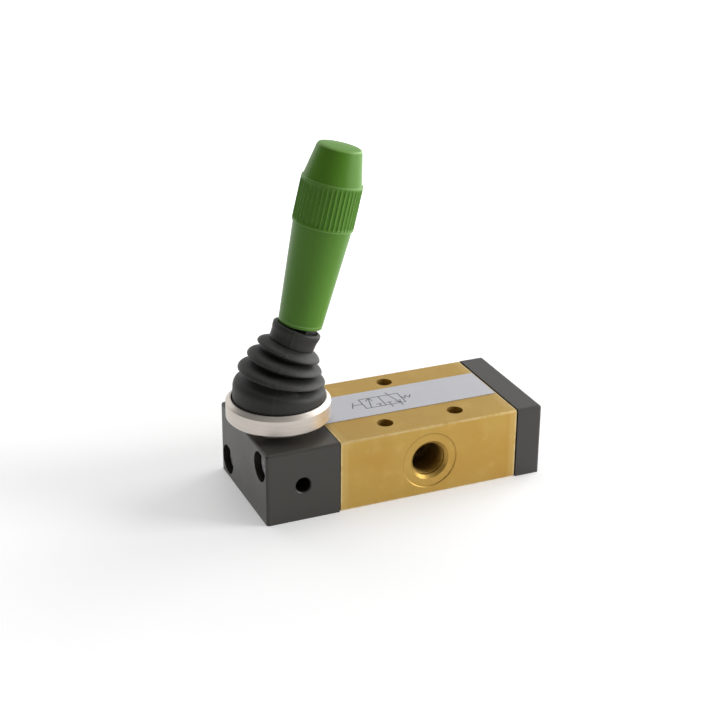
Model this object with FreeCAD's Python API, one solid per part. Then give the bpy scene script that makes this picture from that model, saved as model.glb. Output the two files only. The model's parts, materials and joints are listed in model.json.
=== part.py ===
import FreeCAD, Part
import math
import os

# Hand lever air valve, 3 ports and 2 positions, spring return, millimetres.
# The origin is the centre of the aluminium body's underside. +X runs along the valve
# towards the spring cap, +Y to the two rear ports and +Z up.

# Aluminium body and its plastic ends
body_length = 64.0
body_width = 44.0
body_height = 25.0
block_length = 25.2
cap_length = 9.1
plastic_proud = 0.2
gasket_t = 0.5
gasket_inset = 0.3
metal_edge = 0.5
plastic_edge = 1.0

# Ports, all three the same, and the bolt holes between them
port_pitch = 12.8
port_r = 5.9
port_depth = 11.5
port_chamfer = 1.05
port_way_r = 3.8
spotface_r = 9.6
spotface_depth = 0.15
mount_hole_r = 2.75
front_hole_inset = 8.25
rear_hole_inset = 6.25

# Spool, its seals and the parts that hold them in the bore
bore_r = 8.0
spool_r = 5.0
waist_r = 3.4
waist_cone = 0.8
seal_opening = 1.0
fit_clear = 0.05
cage_window_r = 1.6
cage_windows = 8
cage_groove_depth = 1.2
cage_rim = 1.6
cage_core_clear = 0.6
seal_sides = 12
land_past_seal = 2.4
guide_length = 6.0
end_chamfer = 0.5

# Return spring between the spool's shoulder and the cap's pocket
spring_wire_r = 0.5
spring_mean_r = 4.1
spring_turns = 6.0
spring_reserve = 1.4
spring_end_gap = 0.1
spring_guide_r = 3.1
spring_guide_length = 3.0
spring_wire_sides = 8
pocket_r = 5.3

# Screws that hold the block and the cap on the body
screw_r = 2.5
screw_head_r = 4.25
screw_head_h = 5.0
screw_head_edge = 0.3
socket_across_flats = 4.0
socket_depth = 2.5
counterbore_r = 5.1
screw_inset_y = 6.4
screw_inset_z = 6.25
block_counterbore = 7.6
cap_counterbore = 5.4
screw_reach = 10.0
thread_clear = 0.02
screw_hole_clear = 0.25

# Lever: it turns about a ball whose centre lies just above the block
swing_deg = 13.5
pivot_rise = 1.15
ball_r = 6.5
tip_r = 3.0
lower_rod_r = 2.25
rod_r = 3.0
shank_r = 4.0
shank_start = 9.5
shank_end = 27.5
thread_into_handle = 12.6
tip_hole_clear = 0.05
tip_mouth_start = 1.6
tip_mouth_r = 4.5
tip_mouth_over = 0.2
tail_wall = 2.3
tail_clear = 0.08
stop_clear = 0.05
slot_clear = 0.1
slot_end_clear = 0.5
vent_r = 2.6
vent_chamfer = 0.35

# Neck bush with the two seats of the ball
neck_r = 12.0
neck_height = 5.8
spigot_r = 10.0
spigot_depth = 6.0
seat_bore_r = 8.5
neck_lip = 1.4
neck_mouth_r = 6.0
seat_hole_r = 4.9
seat_split = 0.25

# Ring nut that clamps a panel and carries the boot
ring_r = 17.35
panel_gap = 2.7
ring_web = 3.1
ring_cup = 3.75
ring_lip_t = 1.55
ring_lip_flat = 0.4
ring_bevel = 1.35
ring_undercut = 0.5

# Rubber boot: places along its middle line are told from the pivot
soft_gap = 0.3
boot_wall = 1.1
boot_bead = 1.6
boot_bead_step = 0.5
boot_shoulder = 12.6
boot_shoulder_rise = 1.3
boot_shoulder_step = 0.8
fold_pitch = 4.2
fold_count = 3
fold_half = 0.8
fold_slope = 0.3
fold_valley_rise = 0.2
fold_valley_drop = 2.0
boot_first_fold = 16.4
boot_first_fold_r = 14.0
boot_last_fold_r = 10.0
boot_collar_start = 27.4
boot_collar_rise = 0.9
boot_collar_r = 7.4
boot_rim = 31.9
boot_rim_r = 7.9
boot_top = 32.8
boot_top_r = 7.5
boot_mouth_r = 6.8
boot_bend_start = 6.6
boot_bend_end = 24.0
boot_bend_deg = 24.0
loft_step = 0.1

# Handle and the nut under it
handle_start = 33.4
handle_length = 59.7
handle_foot_r = 7.2
handle_waist_r = 9.6
band_start = 34.0
band_length = 14.5
band_r = 10.0
band_rim = 0.6
flute_depth = 0.35
flutes = 42
handle_top_r = 7.2
handle_edge = 0.8
handle_crown = 0.5
insert_r = 4.6
insert_length = 13.6
insert_knurl = 0.35
insert_groove_half = 1.0
insert_clear = 0.1
nut_across_flats = 10.0
nut_height = 3.2
nut_chamfer = 0.6

# Label on top of the body, left bare
label_t = 0.2
label_front = 14.8
label_width = 17.9
label_end_inset = 0.4

# Places worked out from the sizes above
V = FreeCAD.Vector
X = V(1, 0, 0)
Y = V(0, 1, 0)
Z = V(0, 0, 1)
swing = math.radians(swing_deg)
half_length = body_length / 2
half_width = body_width / 2
spool_z = body_height / 2
block_x1 = -half_length - gasket_t
block_x0 = block_x1 - block_length
cap_x0 = half_length + gasket_t
cap_x1 = cap_x0 + cap_length
lever_x = (block_x0 + block_x1) / 2
block_top = body_height + plastic_proud
pivot_z = block_top + pivot_rise
pivot = V(lever_x, 0, pivot_z)
arm = (pivot_z - spool_z) * 2 / (1 + math.cos(swing))
stroke = 2 * arm * math.sin(swing)
tip_x = lever_x - stroke / 2
tip_hole_r = tip_r + tip_hole_clear
tail_x0 = tip_x - tip_hole_r - tail_wall
seal_cord = bore_r - spool_r - 2 * fit_clear
seal_xs = [port_pitch * k for k in (-1.5, -0.5, 0.5, 1.5)]
cage_xs = [-port_pitch, 0.0, port_pitch]
seal_seat = seal_cord / 2 + fit_clear
stack_end = port_pitch * 1.5 + seal_seat
shoulder_x = port_pitch * 1.5 + seal_cord / 2 + land_past_seal
spring_length = stroke + 2 * spring_wire_r * spring_turns + spring_reserve
pocket_x = shoulder_x + spring_length
guide_x1 = stack_end + guide_length
neck_top = block_top + neck_height
seat_floor = block_top - spigot_depth
ring_z0 = block_top + panel_gap
ring_web_z = ring_z0 + ring_web
ring_z1 = ring_web_z + ring_cup
ring_lip_r = ring_r - ring_bevel - ring_lip_flat
screw_ys = [-half_width - plastic_proud + screw_inset_y, half_width + plastic_proud - screw_inset_y]
screw_zs = [body_height - screw_inset_z, screw_inset_z]
front_hole_y = -half_width + front_hole_inset
rear_hole_y = half_width - rear_hole_inset
mount_holes = [V(-port_pitch, front_hole_y, 0), V(port_pitch, front_hole_y, 0), V(0, rear_hole_y, 0)]


def box(x0, x1, y0, y1, z0, z1):
    return Part.makeBox(x1 - x0, y1 - y0, z1 - z0, V(x0, y0, z0))


def rod(radius, start, end):
    return Part.makeCylinder(radius, (end - start).Length, start, end - start)


def cone(radius_a, radius_b, start, end):
    return Part.makeCone(radius_a, radius_b, (end - start).Length, start, end - start)


def fuse(shapes):
    return shapes[0].fuse(shapes[1:]).removeSplitter()


def turned(points, start, axis):
    """Solid of revolution of (radius, height) points about an axis from start; the outline closes itself."""
    side = Y if abs(axis.dot(Y)) < 0.5 else Z
    corners = [start + side * radius + axis * height for radius, height in points]
    face = Part.Face(Part.makePolygon(corners + corners[:1]))
    solid = face.revolve(start, axis, 360)
    return Part.Solid(solid) if solid.ShapeType == "Shell" else solid


def hex_prism(across_flats, start, height, axis):
    corner_r = across_flats / math.sqrt(3)
    side = Y if abs(axis.dot(Y)) < 0.5 else X
    other = axis.cross(side)
    turns = [math.radians(60 * k) for k in range(6)]
    corners = [start + side * (corner_r * math.cos(a)) + other * (corner_r * math.sin(a)) for a in turns]
    return Part.Face(Part.makePolygon(corners + corners[:1])).extrude(axis * height)


def tilted(shape):
    """The lever is drawn upright and turned about its pivot into the pose where the spring holds it."""
    shape.rotate(pivot, Y, swing_deg)
    return shape


def rounded(shape, radius, picks):
    """Rounds the edges whose middle lies on one of the given planes, told as (axis, place)."""
    def on_all(edge, planes):
        middle = edge.valueAt((edge.FirstParameter + edge.LastParameter) / 2)
        return all(abs(middle.dot(axis) - place) < 1e-4 for axis, place in planes)
    edges = [e for e in shape.Edges if any(on_all(e, planes) for planes in picks)]
    return shape.makeFillet(radius, edges)


def port(face_y, x):
    """Tapped port with its chamfer, its shallow spotface and the way into the bore."""
    outward = V(0, math.copysign(1, face_y), 0)
    mouth = V(x, face_y, spool_z)
    seat = mouth - outward * spotface_depth
    cuts = [rod(spotface_r, seat, mouth + outward)]
    cuts.append(cone(port_r, port_r + port_chamfer, seat - outward * port_chamfer, seat))
    cuts.append(rod(port_r, mouth - outward * port_depth, seat))
    cuts.append(rod(port_way_r, V(x, 0, spool_z), seat))
    return cuts


def screw_holes(x0, x1, radius):
    return [rod(radius, V(x0, y, z), V(x1, y, z)) for y, z in zip(screw_ys, screw_zs)]


def valve_body():
    body = box(-half_length, half_length, -half_width, half_width, 0, body_height)
    long_edges = [e for e in body.Edges if abs(e.tangentAt(e.FirstParameter).dot(X)) > 0.9]
    body = body.makeChamfer(metal_edge, long_edges)
    cuts = [rod(bore_r, V(-half_length - 1, 0, spool_z), V(half_length + 1, 0, spool_z))]
    cuts += port(-half_width, 0) + port(half_width, -port_pitch) + port(half_width, port_pitch)
    cuts += [rod(mount_hole_r, p - Z, p + Z * (body_height + 1)) for p in mount_holes]
    tapped_r = screw_r + thread_clear
    cuts += screw_holes(-half_length - 1, -half_length + screw_reach + 1, tapped_r)
    cuts += screw_holes(half_length - screw_reach - 1, half_length + 1, tapped_r)
    return body.cut(cuts)


def plastic_end(x0, x1, outer_x):
    """Moulded end of the valve, a little proud of the metal, rounded where it doesn't meet the body."""
    side = half_width + plastic_proud
    end = box(x0, x1, -side, side, 0, block_top)
    picks = [[(X, outer_x), (Y, side)], [(X, outer_x), (Y, -side)], [(X, outer_x), (Z, block_top)]]
    picks += [[(Z, block_top), (Y, side)], [(Z, block_top), (Y, -side)]]
    return rounded(end, plastic_edge, picks)


def lever_block():
    block = plastic_end(block_x0, block_x1, block_x0)
    tail_r = spool_r + tail_clear
    slot_half = (pivot_z - spool_z) * math.tan(swing) + lower_rod_r / math.cos(swing) + slot_end_clear
    slot_y = lower_rod_r + slot_clear
    cuts = [rod(tail_r, V(tail_x0 - stop_clear, 0, spool_z), V(block_x1 + 1, 0, spool_z))]
    cuts.append(rod(spigot_r + fit_clear, V(lever_x, 0, seat_floor), V(lever_x, 0, block_top + 1)))
    cuts.append(box(lever_x - slot_half, lever_x + slot_half, -slot_y, slot_y, spool_z, seat_floor + 1))
    vent_mouth = V(lever_x, -half_width - plastic_proud, spool_z)
    cuts.append(rod(vent_r, vent_mouth - Y, V(lever_x, 0, spool_z)))
    cuts.append(cone(vent_r + vent_chamfer, vent_r, vent_mouth, vent_mouth + Y * vent_chamfer))
    cuts += screw_holes(block_x0 - 1, block_x1 + 1, screw_r + screw_hole_clear)
    cuts += screw_holes(block_x0 - 1, block_x0 + block_counterbore, counterbore_r)
    return block.cut(cuts)


def end_cap():
    cap = plastic_end(cap_x0, cap_x1, cap_x1)
    spigot = rod(bore_r - fit_clear, V(guide_x1, 0, spool_z), V(cap_x0 + 1, 0, spool_z))
    cap = fuse([cap, spigot])
    cuts = [rod(pocket_r, V(guide_x1 - 1, 0, spool_z), V(pocket_x, 0, spool_z))]
    cuts += screw_holes(cap_x0 - 1, cap_x1 + 1, screw_r + screw_hole_clear)
    cuts += screw_holes(cap_x1 - cap_counterbore, cap_x1 + 1, counterbore_r)
    return cap.cut(cuts)


def gasket(x0, hole_r):
    side = half_width - gasket_inset
    sheet = box(x0, x0 + gasket_t, -side, side, gasket_inset, body_height - gasket_inset)
    cuts = [rod(hole_r, V(x0 - 1, 0, spool_z), V(x0 + 2, 0, spool_z))]
    cuts += screw_holes(x0 - 1, x0 + 2, screw_r + screw_hole_clear)
    return sheet.cut(cuts)


def head_screws(seat_x, tip_x, inward):
    """Two socket head screws; inward is the way that they are driven along X."""
    screws = []
    for y, z in zip(screw_ys, screw_zs):
        seat = V(seat_x, y, z)
        head_top = seat - inward * screw_head_h
        head = turned([(0, 0), (screw_head_r - screw_head_edge, 0), (screw_head_r, screw_head_edge),
                       (screw_head_r, screw_head_h), (0, screw_head_h)], head_top, inward)
        shank = rod(screw_r, seat, V(tip_x, y, z))
        socket = hex_prism(socket_across_flats, head_top, socket_depth, inward)
        screws.append(fuse([head, shank]).cut(socket))
    return Part.makeCompound(screws)


def spool():
    """Turned spool at rest: long tail, waist that joins two ports, land and spring guide."""
    waist_half = port_pitch / 2 + seal_cord / 2 + seal_opening - stroke / 2
    waist_x0 = -stroke / 2 - waist_half
    waist_x1 = -stroke / 2 + waist_half
    tip = shoulder_x + spring_guide_length
    outline = [(0, tail_x0), (spool_r - end_chamfer, tail_x0), (spool_r, tail_x0 + end_chamfer)]
    outline += [(spool_r, waist_x0), (waist_r, waist_x0 + waist_cone)]
    outline += [(waist_r, waist_x1 - waist_cone), (spool_r, waist_x1)]
    outline += [(spool_r, shoulder_x), (spring_guide_r, shoulder_x)]
    outline += [(spring_guide_r, tip - end_chamfer), (spring_guide_r - end_chamfer, tip), (0, tip)]
    shape = turned(outline, V(0, 0, spool_z), X)
    hole_foot = V(tip_x, 0, spool_z - spool_r - 1)
    mouth_foot = V(tip_x, 0, spool_z + tip_mouth_start)
    mouth_top = V(tip_x, 0, spool_z + spool_r + tip_mouth_over)
    hole = rod(tip_hole_r, hole_foot, hole_foot + Z * (2 * spool_r + 2))
    return shape.cut([hole, cone(tip_hole_r, tip_mouth_r, mouth_foot, mouth_top)])


def spool_seal(x):
    """Rubber ring; its round cord is drawn with flat sides whose corners lie on the cord's circle."""
    middle_r = (bore_r + spool_r) / 2
    cord_r = seal_cord / 2
    turns = [2 * math.pi * k / seal_sides for k in range(seal_sides)]
    outline = [(middle_r + cord_r * math.cos(a), cord_r * math.sin(a)) for a in turns]
    return turned(outline, V(x, 0, spool_z), X)


def seal_cage(x):
    """Spacer ring between two seals, grooved round its outside, with windows for the air."""
    half = port_pitch / 2 - seal_seat
    outer = bore_r - fit_clear
    groove_half = half - cage_rim
    outline = [(spool_r + cage_core_clear, -half), (outer, -half), (outer, -groove_half)]
    outline += [(outer - cage_groove_depth, -groove_half), (outer - cage_groove_depth, groove_half)]
    outline += [(outer, groove_half), (outer, half), (spool_r + cage_core_clear, half)]
    ring = turned(outline, V(x, 0, spool_z), X)
    windows = []
    for k in range(cage_windows // 2):
        turn = math.radians(360 * (k + 0.5) / cage_windows)
        way = V(0, math.cos(turn), math.sin(turn)) * (bore_r + 1)
        windows.append(rod(cage_window_r, V(x, 0, spool_z) - way, V(x, 0, spool_z) + way))
    return ring.cut(windows)


def guide_bush(x0, x1):
    outer = bore_r - fit_clear
    inner = spool_r + fit_clear
    outline = [(inner, x0), (outer - end_chamfer, x0), (outer, x0 + end_chamfer)]
    outline += [(outer, x1 - end_chamfer), (outer - end_chamfer, x1), (inner, x1)]
    return turned(outline, V(0, 0, spool_z), X)


def return_spring():
    """Coil of wire; the round wire is drawn with flat sides whose corners lie on its circle."""
    start_x = shoulder_x + spring_wire_r + spring_end_gap
    end_x = pocket_x - spring_wire_r - spring_end_gap
    pitch = (end_x - start_x) / spring_turns
    helix = Part.makeHelix(pitch, end_x - start_x, spring_mean_r)
    turns = [2 * math.pi * k / spring_wire_sides for k in range(spring_wire_sides)]
    corners = [V(spring_mean_r + spring_wire_r * math.cos(a), 0, spring_wire_r * math.sin(a)) for a in turns]
    section = Part.makePolygon(corners + corners[:1])
    coil = Part.Wire(helix.Edges).makePipeShell([section], True, True)
    coil.rotate(V(0, 0, 0), Y, 90)
    coil.translate(V(start_x, 0, spool_z))
    return coil


def neck_bush():
    """Turned bush: spigot in the block, thread for the ring nut, and a lip over the ball's seats."""
    seat_top = neck_top - neck_lip
    outline = [(seat_bore_r, seat_floor), (spigot_r, seat_floor), (spigot_r, block_top), (neck_r, block_top)]
    outline += [(neck_r, neck_top - end_chamfer), (neck_r - end_chamfer, neck_top), (neck_mouth_r, neck_top)]
    outline += [(neck_mouth_r, seat_top), (seat_bore_r, seat_top)]
    return turned(outline, V(lever_x, 0, 0), Z)


def ball_seat(z0, z1):
    """Plastic seat ring with a spherical hollow that the pivot ball turns in."""
    outer = seat_bore_r - fit_clear
    ring = turned([(seat_hole_r, z0), (outer, z0), (outer, z1), (seat_hole_r, z1)], V(lever_x, 0, 0), Z)
    return ring.cut(Part.makeSphere(ball_r + fit_clear, pivot))


def pivot_ball():
    ball = Part.makeSphere(ball_r, pivot)
    hole = rod(rod_r, pivot - Z * (ball_r + 1), pivot + Z * (ball_r + 1))
    return tilted(ball.cut(hole))


def lever_rod():
    """Stepped rod, its lower end a small ball in the spool's cross hole, its upper end threaded."""
    step = end_chamfer
    ball_edge = -math.sqrt(ball_r ** 2 - rod_r ** 2)
    top = handle_start + thread_into_handle
    outline = [(0, -arm), (lower_rod_r, -arm), (lower_rod_r, ball_edge - step), (rod_r, ball_edge)]
    outline += [(rod_r, shank_start), (shank_r, shank_start + 1), (shank_r, shank_end - step)]
    outline += [(shank_r - step, shank_end), (rod_r, shank_end), (rod_r, top - step), (rod_r - step, top), (0, top)]
    stem = turned(outline, pivot, Z)
    return tilted(fuse([stem, Part.makeSphere(tip_r, pivot - Z * arm)]))


def lock_nut():
    start = pivot + Z * (handle_start - nut_height)
    nut = hex_prism(nut_across_flats, start, nut_height, Z)
    corner_r = nut_across_flats / math.sqrt(3)
    cut_r = nut_across_flats / 2
    envelope = turned([(0, 0), (cut_r, 0), (corner_r, nut_chamfer), (corner_r, nut_height - nut_chamfer),
                       (cut_r, nut_height), (0, nut_height)], start, Z)
    return tilted(nut.common(envelope).cut(rod(rod_r + thread_clear, start - Z, start + Z * (nut_height + 1))))


def insert_outline():
    groove = insert_length / 2
    groove_r = insert_r - insert_knurl
    start = groove - insert_groove_half
    end = groove + insert_groove_half
    return [(0, 0), (insert_r, 0), (insert_r, start), (groove_r, start), (groove_r, end), (insert_r, end),
            (insert_r, insert_length), (0, insert_length)]


def handle_insert():
    foot = pivot + Z * handle_start
    brass = turned(insert_outline(), foot, Z)
    hole = rod(rod_r + thread_clear, foot - Z, foot + Z * (thread_into_handle + insert_clear))
    return tilted(brass.cut(hole))


def fluted_band(foot):
    """Star-shaped prism whose corners stand in turn on the band's radius and a flute's depth below it."""
    count = 2 * flutes
    corners = []
    for k in range(count):
        radius = band_r - flute_depth * (k % 2)
        turn = 2 * math.pi * k / count
        corners.append(foot + V(radius * math.cos(turn), radius * math.sin(turn), 0))
    return Part.Face(Part.makePolygon(corners + corners[:1])).extrude(Z * (band_length - 2 * band_rim))


def handle_grip():
    """Tapered grip with a fluted band between two thin rims, a cone above it and a slightly crowned top."""
    foot = pivot + Z * handle_start
    band_end = band_start + band_length
    top = handle_length
    cone_r = handle_waist_r
    outline = [(0, 0), (handle_foot_r - handle_edge, 0), (handle_foot_r, handle_edge)]
    outline += [(handle_waist_r, band_start), (band_r, band_start), (band_r, band_start + band_rim)]
    outline += [(cone_r - flute_depth, band_start + band_rim), (cone_r - flute_depth, band_end - band_rim)]
    outline += [(band_r, band_end - band_rim), (band_r, band_end), (cone_r, band_end)]
    outline += [(handle_top_r, top - handle_edge), (handle_top_r - handle_edge, top), (0, top + handle_crown)]
    grip = turned(outline, foot, Z)
    band = fluted_band(foot + Z * (band_start + band_rim))
    grip = fuse([grip, band])
    return tilted(grip.cut(turned(insert_outline(), foot, Z)))


def ring_nut():
    """Nickel-plated ring: thread web below, cup with an undercut above for the boot's bead."""
    lip_z = ring_z1 - ring_lip_t
    bead_r = ring_lip_r + ring_undercut
    outline = [(neck_r + fit_clear, ring_z0), (ring_r - end_chamfer, ring_z0), (ring_r, ring_z0 + end_chamfer)]
    outline += [(ring_r, ring_z1 - ring_bevel), (ring_r - ring_bevel, ring_z1), (ring_lip_r, ring_z1)]
    outline += [(ring_lip_r, lip_z), (bead_r, lip_z), (bead_r, ring_web_z), (neck_r + fit_clear, ring_web_z)]
    return turned(outline, V(lever_x, 0, 0), Z)


def boot_folds():
    """Crest place and radius of each fold, from the lowest to the highest."""
    folds = []
    for k in range(fold_count):
        share = k / (fold_count - 1)
        folds.append((boot_first_fold + fold_pitch * k,
                      boot_first_fold_r + (boot_last_fold_r - boot_first_fold_r) * share))
    return folds


def boot_outline():
    """Outside of the boot as (place on the middle line, radius), from the bead up to the rim."""
    base_r = ring_lip_r - soft_gap
    bead_foot = ring_web_z + soft_gap - pivot_z
    bead_top = bead_foot + boot_bead
    bead_r = base_r + boot_bead_step
    points = [(bead_foot, bead_r), (bead_top, bead_r), (bead_top + loft_step, base_r)]
    points += [(boot_shoulder, base_r), (boot_shoulder + boot_shoulder_rise, base_r - boot_shoulder_step)]
    for place, radius in boot_folds():
        points += [(place - fold_pitch / 2 + fold_valley_rise, radius - fold_valley_drop)]
        points += [(place - fold_half, radius), (place + fold_half, radius - fold_slope)]
    collar_r = boot_collar_r
    points += [(boot_collar_start - boot_collar_rise, collar_r - fold_slope), (boot_collar_start, collar_r)]
    return points + [(boot_rim, boot_rim_r), (boot_top, boot_top_r)]


def boot_circle(place, radius):
    """Circle square to the boot's middle line, which is upright, then part of a circle, then straight."""
    bend = math.radians(boot_bend_deg)
    bend_r = (boot_bend_end - boot_bend_start) / bend
    share = (place - boot_bend_start) / (boot_bend_end - boot_bend_start)
    turn = bend * min(max(share, 0.0), 1.0)
    way = V(math.sin(turn), 0, math.cos(turn))
    centre = pivot + Z * (min(place, boot_bend_start) + bend_r * math.sin(turn))
    centre += X * (bend_r * (1 - math.cos(turn)))
    centre += way * max(place - boot_bend_end, 0.0)
    return Part.Wire(Part.makeCircle(radius, centre, way))


def boot():
    """Loft through the outside circles, less a loft through the inside ones."""
    outside = boot_outline()
    walls = [(place, radius) for place, radius in outside[3:] if place < boot_collar_start]
    inside = [(outside[0][0] - 1, walls[0][1] - boot_wall)]
    inside += [(place, radius - boot_wall) for place, radius in walls]
    inside += [(boot_collar_start, boot_mouth_r), (boot_top + 1, boot_mouth_r)]
    outer = Part.makeLoft([boot_circle(place, radius) for place, radius in outside], True, True)
    inner = Part.makeLoft([boot_circle(place, radius) for place, radius in inside], True, True)
    return outer.cut(inner)


def label_strip():
    y0 = -half_width + label_front
    x = half_length - label_end_inset
    return box(-x, x, y0, y0 + label_width, body_height, body_height + label_t)


def write(name, shape):
    solids = shape.Solids
    if not solids or not all(s.isValid() for s in solids):
        raise RuntimeError(name + " is not a sound solid")
    kept = solids[0] if len(solids) == 1 else Part.makeCompound(solids)
    kept.exportStep("parts/" + name + ".step")
    print(name, len(solids), round(shape.Volume, 1))


def main():
    os.makedirs("parts", exist_ok=True)
    write("valve_body", valve_body())
    write("lever_block", lever_block())
    write("end_cap", end_cap())
    write("block_gasket", gasket(block_x1, spool_r + screw_hole_clear))
    write("cap_gasket", gasket(half_length, bore_r))
    write("block_screws", head_screws(block_x0 + block_counterbore, -half_length + screw_reach, X))
    write("cap_screws", head_screws(cap_x1 - cap_counterbore, half_length - screw_reach, -X))
    write("spool", spool())
    for k, x in enumerate(seal_xs, 1):
        write("spool_seal_%d" % k, spool_seal(x))
    for k, x in enumerate(cage_xs, 1):
        write("seal_cage_%d" % k, seal_cage(x))
    write("guide_bush_left", guide_bush(-half_length, -stack_end))
    write("guide_bush_right", guide_bush(stack_end, guide_x1))
    write("return_spring", return_spring())
    write("neck_bush", neck_bush())
    write("ball_seat_lower", ball_seat(seat_floor, pivot_z - seat_split))
    write("ball_seat_upper", ball_seat(pivot_z + seat_split, neck_top - neck_lip))
    write("pivot_ball", pivot_ball())
    write("lever_rod", lever_rod())
    write("lock_nut", lock_nut())
    write("handle_insert", handle_insert())
    write("handle_grip", handle_grip())
    write("ring_nut", ring_nut())
    write("boot", boot())
    write("label_strip", label_strip())
    print("stroke", round(stroke, 3), "arm", round(arm, 3), "pivot", pivot)


main()
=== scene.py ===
# %% [markdown]
# # Hand lever air valve: the looks
#
# The construction comes in as a fixed frame: every rigid piece lies where it belongs, at its real
# size. What is left is the skin: the finish of each surface, and the pieces whose charm is in their
# form, such as the pleated boot and the fluted handle. The cells go from the outside in: frame,
# studio, camera, finishes, then one piece after another. The scene is emptied first, because a
# fresh Blender holds a cube, and the cube would count as part of the valve's box.

import json
import math

import bmesh
import bpy
import numpy as np
from mathutils import Matrix, Vector

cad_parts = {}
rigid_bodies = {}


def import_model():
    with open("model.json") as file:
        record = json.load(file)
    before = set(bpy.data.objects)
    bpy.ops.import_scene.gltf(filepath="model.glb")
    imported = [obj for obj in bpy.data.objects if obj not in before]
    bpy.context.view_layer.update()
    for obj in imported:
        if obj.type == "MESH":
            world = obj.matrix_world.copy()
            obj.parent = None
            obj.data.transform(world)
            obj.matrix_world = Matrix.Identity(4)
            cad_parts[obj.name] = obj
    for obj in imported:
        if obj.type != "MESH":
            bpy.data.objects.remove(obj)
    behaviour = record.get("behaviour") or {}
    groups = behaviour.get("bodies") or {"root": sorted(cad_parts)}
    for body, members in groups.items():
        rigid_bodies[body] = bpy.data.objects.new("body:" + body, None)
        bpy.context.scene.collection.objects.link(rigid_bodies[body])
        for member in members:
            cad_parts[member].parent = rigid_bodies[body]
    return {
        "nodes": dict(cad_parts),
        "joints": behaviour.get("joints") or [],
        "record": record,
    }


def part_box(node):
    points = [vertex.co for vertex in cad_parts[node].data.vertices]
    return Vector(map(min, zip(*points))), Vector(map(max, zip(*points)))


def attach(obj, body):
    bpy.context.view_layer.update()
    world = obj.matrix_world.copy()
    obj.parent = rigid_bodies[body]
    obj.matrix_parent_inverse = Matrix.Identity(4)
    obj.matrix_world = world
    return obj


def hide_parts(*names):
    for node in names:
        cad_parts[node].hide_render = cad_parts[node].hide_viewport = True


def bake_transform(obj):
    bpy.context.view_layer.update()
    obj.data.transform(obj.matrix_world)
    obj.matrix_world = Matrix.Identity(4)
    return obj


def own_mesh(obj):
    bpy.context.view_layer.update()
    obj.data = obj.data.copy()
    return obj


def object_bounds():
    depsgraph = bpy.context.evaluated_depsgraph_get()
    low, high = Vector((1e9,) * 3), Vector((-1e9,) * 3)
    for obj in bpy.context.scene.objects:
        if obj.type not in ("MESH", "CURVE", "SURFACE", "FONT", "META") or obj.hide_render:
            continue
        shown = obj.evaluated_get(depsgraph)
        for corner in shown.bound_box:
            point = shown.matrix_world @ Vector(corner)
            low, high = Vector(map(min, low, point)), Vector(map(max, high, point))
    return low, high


for leftover in list(bpy.data.objects):
    bpy.data.objects.remove(leftover)

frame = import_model()
cad_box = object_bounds()
mm = 0.001
print("nodes in the frame:", len(frame["nodes"]))

# %% [markdown]
# A designer's model already says how big things are, so the sizes are asked of the frame and not
# typed again. The lever's hinge gives the pivot and the swing: the lever rests at one end of its
# travel, so it leans by half of it. For a turned piece, the distance of its vertices along and from
# an axis gives its length and its radius. The part's record names the threaded ports.

# %% Sizes that the frame gives
swing_joint = next(joint for joint in frame["joints"] if joint["type"] == "hinge")
pivot = np.array(swing_joint["pos_m"], float)
lean = math.radians(max(swing_joint["range_deg"]) - min(swing_joint["range_deg"])) / 2
upright = np.array([0.0, 0.0, 1.0])
lever_way = np.array([math.sin(lean), 0.0, math.cos(lean)])


def reach(node, origin, way):
    """Distances of a node's vertices along a line, (p - origin) . way, and square to it."""
    mesh = frame["nodes"][node].data
    flat = np.empty(len(mesh.vertices) * 3)
    mesh.vertices.foreach_get("co", flat)
    offset = flat.reshape(-1, 3) - origin
    along = offset @ way
    return along, np.linalg.norm(offset - along[:, None] * way, axis=1)


handle_along, handle_out = reach("handle_grip", pivot, lever_way)
ring_along = reach("ring_nut", pivot, upright)[0]
ports = [mount for mount in frame["record"]["mounts"] if mount["kind"] == "threaded_hole"]
print("lean of the lever: %.1f degrees" % math.degrees(lean))
print("handle from %.1f to %.1f mm" % (handle_along.min() / mm, handle_along.max() / mm))
print("ports:", [mount["name"] for mount in ports])

# %% [markdown]
# Shader patterns are sums, and sums read best as sums. One small class wraps a socket, and plain
# arithmetic on it adds the Math nodes. The reflected forms let `1 - mask` work as well as
# `mask - 1`. One more function puts such a value, or a plain number or colour, into a socket.

# %% Shader arithmetic
class Value:
    """A socket in a shader tree that can be added, subtracted, multiplied and compared."""

    def __init__(self, tree, socket):
        self.tree = tree
        self.socket = socket

    def combine(self, operation, first, second):
        node = self.tree.nodes.new("ShaderNodeMath")
        node.operation = operation
        plug(self.tree, node.inputs[0], first)
        plug(self.tree, node.inputs[1], second)
        return Value(self.tree, node.outputs[0])

    def __add__(self, other):
        return self.combine("ADD", self, other)

    def __radd__(self, other):
        return self.combine("ADD", other, self)

    def __sub__(self, other):
        return self.combine("SUBTRACT", self, other)

    def __rsub__(self, other):
        return self.combine("SUBTRACT", other, self)

    def __mul__(self, other):
        return self.combine("MULTIPLY", self, other)

    def __rmul__(self, other):
        return self.combine("MULTIPLY", other, self)

    def __abs__(self):
        return self.combine("ABSOLUTE", self, 0.0)

    def least(self, other):
        return self.combine("MINIMUM", self, other)

    def most(self, other):
        return self.combine("MAXIMUM", self, other)


def plug(tree, socket, value):
    """Links a Value to a socket, or writes a number, a vector or a colour into it."""
    if isinstance(value, Value):
        tree.links.new(value.socket, socket)
    elif socket.type == "RGBA" and len(value) == 3:
        socket.default_value = (*value, 1.0)
    else:
        socket.default_value = value


print("shader arithmetic ready")

# %% [markdown]
# A second class stands for one finish: it holds the material, its main shader and the object
# coordinates that every pattern starts from. One method adds any other node, and short ones built
# on it give the patterns that all the finishes share: noise, steps, blends, bumps and worn edges.

# %% Finish class
noise_roughness = 0.55


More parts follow.
